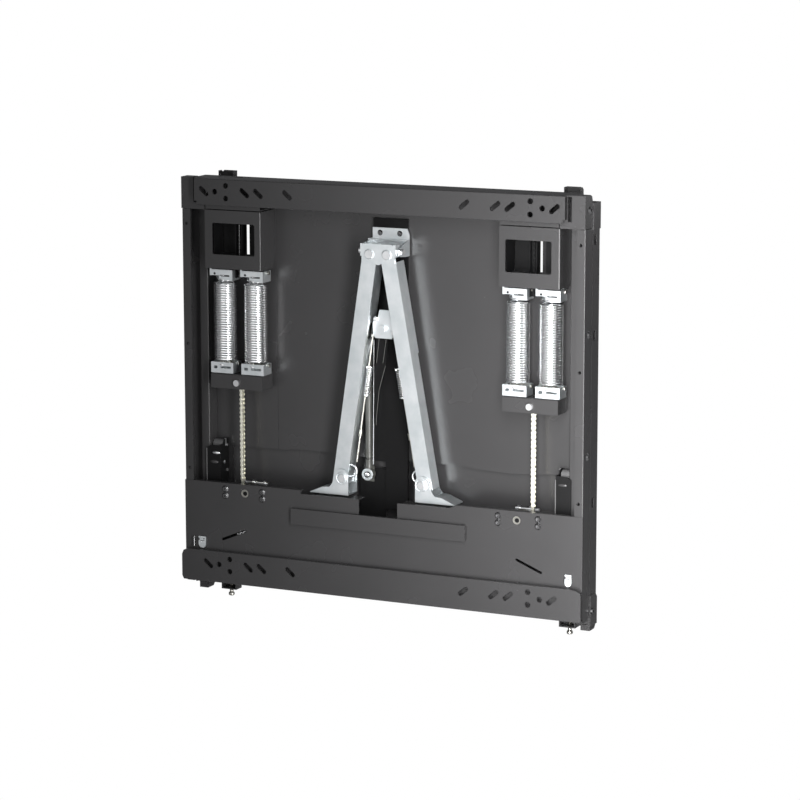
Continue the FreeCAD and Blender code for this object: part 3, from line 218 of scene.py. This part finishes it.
class Build:
    """Gathers several shells into one mesh."""

    def __init__(self):
        self.v = []
        self.f = []

    def add(self, verts, faces):
        n = len(self.v)
        self.v += [Vector(p) for p in verts]
        self.f += [tuple(i + n for i in f) for f in faces]

    def tube(self, path, r, seg=12, closed=False, caps=True):
        """Round bar along a list of points with a rotation-minimising frame."""
        P = [Vector(p) for p in path]
        n = len(P)
        rad = r if isinstance(r, (list, tuple)) else [r] * n
        T = []
        for i in range(n):
            a = P[i - 1] if (i > 0 or closed) else P[i]
            b = P[(i + 1) % n] if (i < n - 1 or closed) else P[i]
            T.append((b - a).normalized())
        u = T[0].orthogonal().normalized()
        rings, verts, faces = [], [], []
        for i in range(n):
            if i:
                u = (u - T[i] * u.dot(T[i])).normalized()
            w = T[i].cross(u)
            for k in range(seg):
                t = 2 * math.pi * k / seg
                verts.append(P[i] + (u * math.cos(t) + w * math.sin(t)) * rad[i])
        for i in range(n - 1 + (1 if closed else 0)):
            j = (i + 1) % n
            for k in range(seg):
                l = (k + 1) % seg
                faces.append((i * seg + k, i * seg + l, j * seg + l, j * seg + k))
        if caps and not closed:
            faces.append(tuple(range(seg))[::-1])
            faces.append(tuple((n - 1) * seg + k for k in range(seg)))
        self.add(verts, faces)

    def lathe(self, profile, at, axis, seg=32, polygon=None):
        """Turns (radius, height) points about an axis through at. polygon gives a hexagon or the like."""
        ax = Vector(axis).normalized()
        u = ax.orthogonal().normalized()
        if abs(ax.z) < 0.5:
            u = (Vector((0, 0, 1)) - ax * ax.z).normalized()
        w = ax.cross(u)
        at = Vector(at)
        seg = polygon or seg
        verts, faces = [], []
        for r, h in profile:
            for k in range(seg):
                t = 2 * math.pi * k / seg
                verts.append(at + ax * h + (u * math.cos(t) + w * math.sin(t)) * max(r, 1e-6))
        m = len(profile)
        for i in range(m - 1):
            for k in range(seg):
                l = (k + 1) % seg
                faces.append((i * seg + k, i * seg + l, (i + 1) * seg + l, (i + 1) * seg + k))
        faces.append(tuple(range(seg))[::-1])
        faces.append(tuple((m - 1) * seg + k for k in range(seg)))
        self.add(verts, faces)

    def slab(self, pts, d0, d1, plane="XZ"):
        """Outline in a plane, given thickness between two depths along the third axis."""
        def at(a, b, d):
            return {"XZ": (a, d, b), "XY": (a, b, d), "YZ": (d, a, b)}[plane]
        n = len(pts)
        verts = [at(a, b, d0) for a, b in pts] + [at(a, b, d1) for a, b in pts]
        faces = [tuple(range(n)), tuple(range(2 * n - 1, n - 1, -1))]
        faces += [(i, (i + 1) % n, n + (i + 1) % n, n + i) for i in range(n)]
        self.add(verts, faces)

    def box(self, x0, x1, y0, y1, z0, z1):
        self.slab([(x0, z0), (x1, z0), (x1, z1), (x0, z1)], y0, y1)

    def make(self, name, slot, body, angle=35):
        return piece(name, self.v, self.f, slot, body, True, angle)


MM = 0.001


def Y(y):
    """Depth from the rails' front plane to the frame's Y."""
    return (y - 115.0) * MM


# ---- tension springs -----------------------------------------------------------
for side, sg in (("left", -1), ("right", 1)):
    b = Build()
    for xs in (372.3, 299.8):
        cx, cy = sg * xs * MM, Y(47)
        R, w = 23.0 * MM, 2.02 * MM
        z0, z1 = 40.0 * MM, 201.5 * MM
        turns = 31.5
        per = 28
        # the last turns at both ends draw in and pass behind the clips' front plates
        path = []
        lead = 40
        for i in range(lead):
            f = i / lead
            a = 2 * math.pi * 1.35 * (f - 1)
            r = (15.2 + 7.8 * f ** 1.5) * MM
            path.append((cx + r * math.cos(a), cy - r * math.sin(a), (22.5 + 17.5 * f ** 1.4) * MM))
        n = int(turns * per)
        for i in range(n + 1):
            t = i / n
            a = 2 * math.pi * turns * t
            path.append((cx + R * math.cos(a), cy - R * math.sin(a), z0 + (z1 - z0) * t))
        a1 = 2 * math.pi * turns
        for i in range(1, lead + 1):
            f = i / lead
            a = a1 + 2 * math.pi * 1.25 * f
            r = (23.0 - 7.8 * f ** 0.8) * MM
            path.append((cx + r * math.cos(a), cy - r * math.sin(a), z1 + 17.0 * f ** 1.2 * MM))
        b.tube(path, w, seg=10)
    o = b.make("coil_springs_" + side, "spring_wire", None)
    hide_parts("springs_" + side)
    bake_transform(o)

# cross bars that hold the spring ends in the clips
for nm, body, z in (("hanger_bars", "wall_frame", 227.5), ("seat_bars", "carriage", 30.0)):
    b = Build()
    for sg in (-1, 1):
        for xs in (372.3, 299.8):
            x = sg * xs
            y = 52.2
            b.tube([((x + d) * MM, Y(y), z * MM) for d in (-29.0, -10.0, 10.0, 29.5)], 2.8 * MM, seg=16)
            for d, e in ((-29.5, 1), (30.0, -1)):
                b.lathe([(2.8 * MM, 0), (4.6 * MM, 0.2 * MM), (4.8 * MM, 1.2 * MM), (4.2 * MM, 2.2 * MM), (2.8 * MM, 2.4 * MM)], ((x + d) * MM, Y(y), z * MM), (e, 0, 0), seg=20)
            # hook loops round the bar
            for d in (-8.0, 8.0):
                loop = []
                for i in range(25):
                    a = 2 * math.pi * i / 24 * 0.82 - 0.9
                    loop.append(((x + d) * MM, Y(y) + 5.4 * MM * math.cos(a), z * MM + 5.4 * MM * math.sin(a)))
                b.tube(loop, 1.9 * MM, seg=10)
    dress(b.make(nm, "bright_steel", body), "burnished_steel")

# small near-black discs on the hangers' front plates, painted shade for their holes
b = Build()
for sg in (-1, 1):
    for xs in (372.3, 299.8):
        b.lathe([(2.5 * MM, 0), (2.5 * MM, 0.25 * MM), (1.8 * MM, 0.3 * MM)], ((sg * xs - 15.0) * MM, Y(28.2), 223.2 * MM), (0, -1, 0), seg=24)
b.make("hanger_hole_shade", "matt_black", "wall_frame")

# rounded folds on the spring boxes' right-hand front corners, drawn in a lighter grey than the boxes as a painted
# highlight
b = Build()
for side in ("left", "right"):
    at = [NODES["spring_box_" + side].matrix_world @ v.co for v in NODES["spring_box_" + side].data.vertices]
    x1, y0 = max(v.x for v in at), min(v.y for v in at)
    zs = [v.z for v in at if abs(v.x - x1) < 0.0005]
    b.tube([(x1 - 0.0006, y0 + 0.0006, min(zs) + 0.001), (x1 - 0.0006, y0 + 0.0006, max(zs) - 0.001)], 0.0012, seg=16)
b.make("box_fold_highlights", "roller_plastic", "wall_frame")


# ---- roller chains -----------------------------------------------------------------
def eight(cx, cz, half, R, waist):
    pts = [(cx + R * math.cos(math.radians(a)), cz + half + R * math.sin(math.radians(a))) for a in range(-40, 221, 20)]
    pts.append((cx - waist, cz))
    pts += [(cx + R * math.cos(math.radians(a)), cz - half + R * math.sin(math.radians(a))) for a in range(140, 401, 20)]
    pts.append((cx + waist, cz))
    return pts


PITCH = 9.525
for side, sg in (("left", -1), ("right", 1)):
    b = Build()
    cx = sg * 335.2
    for i in range(22):
        zc = -7.7 - PITCH * (i + 0.5)
        out = i % 2 == 0
        for y0, y1 in (((43.4, 44.4), (52.2, 53.2)) if out else ((44.7, 45.7), (50.9, 51.9))):
            b.slab([(x * MM, z * MM) for x, z in eight(cx, zc, PITCH / 2, 3.9, 2.6)], Y(y0), Y(y1))
        at = (cx * MM, 0, (zc - PITCH / 2) * MM)
        b.lathe([(1.2 * MM, Y(42.7)), (1.75 * MM, Y(43.0)), (1.75 * MM, Y(53.6)), (1.2 * MM, Y(53.9))], at, (0, 1, 0), seg=14)
        b.lathe([(2.8 * MM, Y(45.8)), (2.9 * MM, Y(46.0)), (2.9 * MM, Y(50.6)), (2.8 * MM, Y(50.8))], at, (0, 1, 0), seg=18)
    # end link round the tension screw
    b.slab([((cx - 3.4) * MM, -219 * MM), ((cx + 3.4) * MM, -219 * MM), ((cx + 2.6) * MM, -228.5 * MM), ((cx - 2.6) * MM, -228.5 * MM)], Y(46), Y(51))
    o = b.make("roller_chain_" + side, "chain_steel", "carriage")
    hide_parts("chain_" + side)

# the chain's upper run inside each spring box, seen edge-on between two guide cheeks; the run is drawn in black coat on
# the left and near-black on the right, and the cheeks near-black, as painted shade inside the boxes
b = Build()
g = Build()
b2 = Build()
for sg in (-1, 1):
    x = sg * 335.35
    t = b if sg < 0 else b2
    for i in range(14):
        z = 219.5 + PITCH * i
        t.lathe([(0.6 * MM, -3.6 * MM), (1.8 * MM, -3.2 * MM), (2.3 * MM, -1.6 * MM), (2.3 * MM, 1.6 * MM), (1.8 * MM, 3.2 * MM), (0.6 * MM, 3.6 * MM)], (x * MM, Y(43.5), z * MM), (0, 0, 1), seg=16)
    t.tube([(x * MM, Y(43.5), z * MM) for z in (215.0, 250.0, 300.0, 350.0)], 1.3 * MM, seg=10)
    g.slab([((x - 8.2) * MM, Y(50)), ((x + 8.2) * MM, Y(50)), ((x + 8.2) * MM, Y(39)), ((x + 6.4) * MM, Y(39)), ((x + 6.4) * MM, Y(48.2)), ((x - 6.4) * MM, Y(48.2)),
            ((x - 6.4) * MM, Y(39)), ((x - 8.2) * MM, Y(39))], 214.5 * MM, 357.0 * MM, "XY")
o1 = b.make("box_chain_runs_painted_shade", "black_powder_coat", "wall_frame")
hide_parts("spring_box_rods")
b2.make("box_chain_run_right_painted_shade", "matt_black", "wall_frame")
g.make("box_chain_guides_painted_shade", "matt_black", "wall_frame")

# ---- strut details -----------------------------------------------------------------
# near-black tapered slab behind the release plate, with thin wires along its edges
b = Build()
b.slab([(x * MM, z * MM) for x, z in [(-23.2, 108), (3.2, 108), (-1.9, 53.7), (-4.9, 47.2), (-15.9, -4.3), (-22.5, -79.0), (-25.8, -79.3), (-25.8, -5.0), (-26.6, 45.6), (-24.0, 52.2)]], Y(56.6), Y(58.2))
b.make("strut_dark_taper", "matt_black", "strut")
b = Build()
for pts in ([(-15.8, 107), (-22.4, 53.2)], [(0.3, 107), (-7.4, 53.4)], [(-2.0, 47.6), (-16.6, -4.2), (-22.3, -57.5), (-23.6, -79.0)]):
    P = []
    for (xa, za), (xb, zb) in zip(pts, pts[1:]):
        P += [(xa, za), ((xa * 2 + xb) / 3, (za * 2 + zb) / 3), ((xa + 2 * xb) / 3, (za + 2 * zb) / 3)]
    P.append(pts[-1])
    b.tube([(x * MM, Y(56.2), z * MM) for x, z in P], 0.65 * MM, seg=8)
b.make("strut_strap_wires", "damper_paint", "strut")

# clamp screw on the release plate, and a small knuckle with its washer
b = Build()
for x, z, y0, r in ((24.8, 121.0, 40.0, 4.2), (-16.0, 148.0, 40.0, 5.2)):
    b.lathe([(r * MM, 0), (r * MM, 1.6 * MM), ((r - 0.4) * MM, 2.0 * MM), (3.8 * MM, 2.0 * MM), (3.8 * MM, 5.2 * MM), (3.0 * MM, 5.9 * MM), (1.4 * MM, 5.9 * MM), (1.2 * MM, 4.6 * MM)], (x * MM, Y(y0), z * MM), (0, -1, 0), seg=24)
b.make("release_screws", "bright_steel", "release")

# coils round the release rods
b = Build()
for sg in (-1, 1):
    top = Vector((sg * 25, 44.5, 112))
    bot = Vector((sg * 66.5, 52, -160))
    d = bot - top
    u = d.normalized()
    v = u.orthogonal().normalized()
    w = u.cross(v)
    s0 = top + d * 0.246
    s0.x -= sg * 2.5
    path = []
    n = 15 * 18
    for i in range(n + 1):
        a = 2 * math.pi * 15 * i / n
        c = s0 + u * (1.0 + 58.0 * i / n) + v * 6.2 * math.cos(a) + w * 6.2 * math.sin(a)
        path.append((c.x * MM, Y(c.y), c.z * MM))
    b.tube(path, 0.95 * MM, seg=8)
    for d0 in (-1.2, 60.2):
        b.lathe([(2.2 * MM, -0.8 * MM), (7.1 * MM, -0.8 * MM), (7.1 * MM, 0.8 * MM), (2.2 * MM, 0.8 * MM)], ((s0 + u * d0).x * MM, Y((s0 + u * d0).y), (s0 + u * d0).z * MM), tuple(u), seg=28)
o = b.make("leg_coil_springs", "spring_wire", "release")
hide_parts("leg_springs")

# wire rings that join the rods to the feet
b = Build()
for sg in (-1, 1):
    ring = []
    for i in range(33):
        a = math.radians(60 + 240 * i / 32)
        ring.append(((sg * 77.0 + sg * 12.5 * math.cos(a)) * MM, Y(46.5), (-178.5 + 12.5 * math.sin(a)) * MM))
    b.tube(ring, 1.7 * MM, seg=12)
b.make("rod_end_rings", "bright_steel", "release")

# raised bosses on the feet and on the strut head
for side, sg in (("left", -1), ("right", 1)):
    b = Build()
    at = (sg * 91.1 * MM, Y(31.5), -193.3 * MM)
    b.lathe([(14.0 * MM, -0.3 * MM), (13.8 * MM, 0.7 * MM), (13.0 * MM, 1.0 * MM), (12.4 * MM, 0.7 * MM), (12.2 * MM, -0.3 * MM)], at, (0, -1, 0), seg=48)
    b.lathe([(10.2 * MM, -0.3 * MM), (10.0 * MM, 0.6 * MM), (9.2 * MM, 0.9 * MM), (8.6 * MM, 0.6 * MM), (8.4 * MM, -0.3 * MM)], at, (0, -1, 0), seg=48)
    b.make("foot_boss_" + side, "zinc_plated_steel", "foot_" + side)
b = Build()
for sg in (-1, 1):
    at = (sg * 19.9 * MM, Y(16.9), 285.4 * MM)
    b.lathe([(11.2 * MM, -0.2 * MM), (11.0 * MM, 0.7 * MM), (10.0 * MM, 1.0 * MM), (9.4 * MM, 0.7 * MM), (9.2 * MM, -0.2 * MM)], at, (0, -1, 0), seg=40)
b.make("head_bosses", "zinc_plated_steel", "strut")

# ---- levelling screws with a knurled knob -------------------------------------------
for side, sg in (("left", -1), ("right", 1)):
    b = Build()
    prof = [(0.5 * MM, -493.8 * MM), (4.2 * MM, -493.6 * MM), (6.0 * MM, -492.4 * MM), (6.6 * MM, -490.0 * MM), (6.2 * MM, -487.2 * MM), (4.6 * MM, -485.6 * MM), (3.9 * MM, -484.4 * MM), (3.9 * MM, -481.5 * MM)]
    z = -481.0
    while z < -441.5:
        prof += [(3.95 * MM, z * MM), (3.45 * MM, (z + 0.75) * MM)]
        z += 1.5
    prof += [(3.9 * MM, -440.6 * MM), (3.0 * MM, -440.1 * MM)]
    b.lathe(prof, (sg * 396 * MM, Y(104), 0), (0, 0, 1), seg=28)
    b.lathe([(7.4 * MM, -448.0 * MM), (7.5 * MM, -447.4 * MM), (7.5 * MM, -443.8 * MM), (7.0 * MM, -443.2 * MM)], (sg * 396 * MM, Y(104), 0), (0, 0, 1), polygon=6)
    o = b.make("threaded_foot_" + side, "bright_steel", "levelling_screw_" + side)
    dress(o, "burnished_steel")
    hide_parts("levelling_screw_" + side)

# ---- latches: bright tongue beside a darker hooked strip ------------------------------
b = Build()
d = Build()
for sg, x0, x1, bx0 in ((-1, -425.0, -407.3, -435.8), (1, 420.6, 434.6, 411.0)):
    w = x1 - x0
    r = w / 2
    pts = [(x0, -346.0), (x0 + 1.0, -345.0), (x1 - 1.0, -345.0), (x1, -346.0)]
    pts += [(x0 + r + r * math.cos(-a * math.pi / 16), -361.5 + 8.5 * math.sin(-a * math.pi / 16)) for a in range(17)]
    b.slab([(x * MM, z * MM) for x, z in pts], Y(11.2), Y(13.2))
    if sg < 0:
        d.tube([(bx0 * MM, Y(11.2), -346.0 * MM), (bx0 * MM, Y(11.2), -367.5 * MM)], 2.5 * MM, seg=16)
    # painted shade: a dark disc stands for the shaded inside of the tongue's upper hole
    d.lathe([(2.6 * MM, 0), (2.6 * MM, 1.2 * MM), (1.8 * MM, 1.5 * MM)], ((x0 + 1.5) * MM, Y(11.2), -351.0 * MM), (0, -1, 0), seg=24)
    side = "left" if sg < 0 else "right"
    o = b.make("latch_plate_" + side, "zinc_plated_steel", "latch_" + side)
    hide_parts("latch_" + side)
    # painted shade: a small dark disc for the second hole
    d.lathe([(1.5 * MM, 0), (1.5 * MM, 0.4 * MM), (1.0 * MM, 0.5 * MM)], ((x1 - 4.6) * MM, Y(11.2), -350.0 * MM), (0, -1, 0), seg=20)
    d.slab([(x * MM, z * MM) for x, z in ((x0 + 4.5, -354.2), (x1 - 3.0, -353.2), (x1 - 3.0, -354.6), (x0 + 4.5, -355.6))], Y(11.0), Y(11.6))
    d.make("latch_dark_" + side, "black_screw", "latch_" + side)
    b = Build()
    d = Build()

# near-black hexagon discs in the adjusters, painted shade for their sockets
for side, sg in (("left", -1), ("right", 1)):
    k = Build()
    k.lathe([(5.2 * MM, 0), (5.2 * MM, 0.35 * MM), (4.0 * MM, 0.36 * MM)], (sg * 313 * MM + 0.0012, Y(13.7), -242.7 * MM), (0, -1, 0), polygon=6)
    k.make("adjuster_socket_shade_" + side, "matt_black", "adjuster_" + side)

# washer and bright pin in the eye behind the left leg
b = Build()
b.lathe([(12.6 * MM, 0), (12.8 * MM, 1.2 * MM), (12.0 * MM, 2.2 * MM), (8.8 * MM, 2.3 * MM), (8.2 * MM, 1.4 * MM), (5.2 * MM, 1.3 * MM)], (-48.5 * MM, Y(66), -188 * MM), (0, -1, 0), seg=48)
b.make("eye_washer", "zinc_plated_steel", "carriage")
b = Build()
b.lathe([(4.7 * MM, 0), (4.7 * MM, 3.2 * MM), (3.6 * MM, 4.0 * MM), (1.0 * MM, 4.1 * MM)], (-48.5 * MM, Y(66), -188 * MM), (0, -1, 0), seg=32)
b.make("eye_pin", "bright_steel", "carriage")

# bright wire seen through the left apron slot
b = Build()
wire = []
for i in range(41):
    f = i / 40
    wire.append(((-345.5 + 31.0 * f) * MM, Y(18.2), (-338.8 + 13.0 * f + 0.9 * math.sin(f * 22)) * MM))
b.tube(wire[14:], 1.5 * MM, seg=10)
b.make("slot_wire", "bright_steel", "carriage")

# pale ends of the roller axles, pressed bulges and thin lips on the roller covers; one bulge and the lips are painted
# highlights
b = Build()
g = Build()
h = Build()
k = Build()
for sg in (-1, 1):
    x = sorted((sg * 385.6, sg * 388.4))
    b.slab([(x[0] * MM, -138.6 * MM), (x[1] * MM, -138.6 * MM), (x[1] * MM, -154.0 * MM), (x[0] * MM, -154.0 * MM)], Y(64), Y(70))
# painted highlight: the upper left bulge is drawn in bright steel, the other two in black coat
for to, sg, x0, x1, z, r in ((g, -1, 387.2, 408.0, -166.5, 4.0), (h, -1, 392.0, 413.0, -186.5, 4.4), (h, 1, 390.0, 412.0, -168.0, 3.6)):
    P = []
    R = []
    for i in range(13):
        f = i / 12
        P.append((sg * (x0 + (x1 - x0) * f) * MM, Y(45.2), z * MM))
        R.append(max(0.3, r * math.sqrt(max(0.0, 1 - (2 * f - 1) ** 2 * 0.98))) * MM)
    to.tube(P, R, seg=20)
g.lathe([(4.0 * MM, -0.6 * MM), (4.0 * MM, 0.4 * MM), (3.0 * MM, 1.0 * MM), (0.8 * MM, 1.1 * MM)], (-385.9 * MM, Y(60), -188.5 * MM), (1, 0, 0), seg=24)
# painted highlight: thin lighter strips along the covers' edges
for sg, x in ((-1, -419.6), (1, 386.0)):
    k.slab([((x - 0.9) * MM, -158.0 * MM), ((x + 0.9) * MM, -157.4 * MM), ((x + 0.9) * MM, -228.0 * MM), ((x - 0.9) * MM, -228.0 * MM)], Y(42.6), Y(45.4))
b.make("roller_axle_ends", "bright_steel", "carriage")
g.make("roller_cover_bulge_highlight_and_bolt", "bright_steel", "carriage")
h.make("roller_cover_dents", "black_powder_coat", "carriage")
k.make("roller_cover_edge_highlights", "roller_plastic", "carriage")

# painted shade: near-black slabs at the back of each spring-box window darken the windows
b = Build()
for sg in (-1, 1):
    for x in ((-383.0, -331.5), (-318.5, -286.5)) if sg < 0 else ((286.5, 342.0), (354.5, 383.0)):
        b.slab([(x[0] * MM, 263.0 * MM), (x[1] * MM, 263.0 * MM), (x[1] * MM, 335.5 * MM), (x[0] * MM, 335.5 * MM)], Y(61.0), Y(62.0))
    x0 = -384.4 if sg < 0 else 284.8
    b.slab([(Y(20), 263.0 * MM), (Y(61), 263.0 * MM), (Y(61), 335.5 * MM), (Y(20), 335.5 * MM)], x0 * MM, (x0 + 0.6) * MM, "YZ")
b.make("window_painted_shade", "matt_black", "wall_frame")

# painted highlight: a thin near-white wire along the damper stands for a bright edge line
b = Build()
b.tube([(-30.8 * MM, Y(62), 100.0 * MM), (-31.9 * MM, Y(62), -32.0 * MM), (-33.0 * MM, Y(62), -164.0 * MM)], 0.9 * MM, seg=10)
b.make("damper_edge_highlight", "spring_wire", "wall_frame")

# ---- rounded edges on the CAD pieces --------------------------------------------
for name, obj in NODES.items():
    if name.startswith(("springs_", "chain_left", "chain_right", "leg_springs", "spring_box_rods", "latch_", "levelling_screw")):
        continue
    soften(obj, 0.0009 if SLOT[name] == "black_powder_coat" else 0.0005)

# ---- camera -----------------------------------------------------------------------
az, el, roll = math.radians(25.035), math.radians(10.262), math.radians(-0.066)
fwd = Vector((-math.sin(az) * math.cos(el), math.cos(az) * math.cos(el), -math.sin(el)))
right = Vector((math.cos(az), math.sin(az), 0))
up = right.cross(fwd)
r2 = right * math.cos(roll) + up * math.sin(roll)
u2 = up * math.cos(roll) - right * math.sin(roll)
cam_data = bpy.data.cameras.new("camera")
cam_data.sensor_width = 36.0
cam_data.lens = 134.49
cam_data.clip_end = 300.0
cam = bpy.data.objects.new("camera", cam_data)
bpy.context.scene.collection.objects.link(cam)
rot = Matrix((r2, u2, -fwd)).transposed().to_4x4()
cam.matrix_world = Matrix.Translation(Vector((2.6156, -5.5918, 1.0840))) @ rot
bpy.context.scene.camera = cam

# ---- floor, light --------------------------------------------------------------------
world = bpy.data.worlds.new("world")
bpy.context.scene.world = world
world.use_nodes = True
wt = world.node_tree
amb = wt.nodes["Background"]
amb.inputs["Color"].default_value = (0.97, 0.97, 1.0, 1)
amb.inputs["Strength"].default_value = 0.14
white = wt.nodes.new("ShaderNodeBackground")
white.inputs["Color"].default_value = (1, 1, 1, 1)
white.inputs["Strength"].default_value = 1.0
wpath = wt.nodes.new("ShaderNodeLightPath")
wmix = wt.nodes.new("ShaderNodeMixShader")
wt.links.new(wpath.outputs["Is Camera Ray"], wmix.inputs["Fac"])
wt.links.new(amb.outputs["Background"], wmix.inputs[1])
wt.links.new(white.outputs["Background"], wmix.inputs[2])
wt.links.new(wmix.outputs["Shader"], wt.nodes["World Output"].inputs["Surface"])
bpy.context.scene.view_settings.view_transform = "Standard"

fm, fnt, fbs, fgeo = base_material("floor_paper")
fn = noise(fnt, fgeo, 3.0, 2.0)
fr = ramp(fnt, fn.outputs["Fac"], 0.3, 0.7, (0.84, 0.84, 0.84), (0.87, 0.87, 0.87))
fnt.links.new(fr.outputs["Color"], fbs.inputs["Base Color"])
fbs.inputs["Roughness"].default_value = 0.9
fem = fnt.nodes.new("ShaderNodeEmission")
fem.inputs["Color"].default_value = (1, 1, 1, 1)
fem.inputs["Strength"].default_value = 1.0
fpath = fnt.nodes.new("ShaderNodeLightPath")
fgain = fnt.nodes.new("ShaderNodeMath")
fgain.operation = "MULTIPLY"
fgain.inputs[1].default_value = 1.0
fnt.links.new(fpath.outputs["Is Camera Ray"], fgain.inputs[0])
fmix = fnt.nodes.new("ShaderNodeMixShader")
fnt.links.new(fgain.outputs["Value"], fmix.inputs["Fac"])
fnt.links.new(fbs.outputs["BSDF"], fmix.inputs[1])
fnt.links.new(fem.outputs["Emission"], fmix.inputs[2])
fout = [n for n in fnt.nodes if n.type == "OUTPUT_MATERIAL"][0]
fnt.links.new(fmix.outputs["Shader"], fout.inputs["Surface"])
fb = bpy.data.meshes.new("floor")
fb.from_pydata([(-90, -90, -1.30), (90, -90, -1.30), (90, 90, -1.30), (-90, 90, -1.30)], [], [(0, 1, 2, 3)])
floor = bpy.data.objects.new("floor", fb)
bpy.context.scene.collection.objects.link(floor)
fb.materials.append(fm)


def area_light(name, at, target, size, power, size_y=None):
    l = bpy.data.lights.new(name, "AREA")
    l.energy = power
    l.size = size
    if size_y:
        l.shape = "RECTANGLE"
        l.size_y = size_y
    o = bpy.data.objects.new(name, l)
    bpy.context.scene.collection.objects.link(o)
    o.location = at
    d = Vector(target) - Vector(at)
    o.rotation_euler = d.to_track_quat("-Z", "Y").to_euler()
    o.visible_camera = False
    return o


area_light("front", (0.0, -2.8, 0.58), (0.0, 0, 0.58), 2.6, 36, 3.65)
area_light("front_left", (-1.85, -2.8, 0.58), (-1.85, 0, 0.58), 1.1, 2.6, 3.65)
area_light("front_right", (2.30, -1.93, 0.58), (0, 0, 0.58), 2.6, 28, 3.65)
area_light("strip", (0.62, -0.78, -0.04), (0.75, 0, -0.06), 0.40, 44, 1.6)
area_light("side", (1.9, 2.0, 1.0), (0.45, -0.05, 0.1), 1.8, 15.5, 1.8)
area_light("left", (-2.4, 1.4, 1.2), (-0.4, 0, 0), 1.6, 6, 1.6)
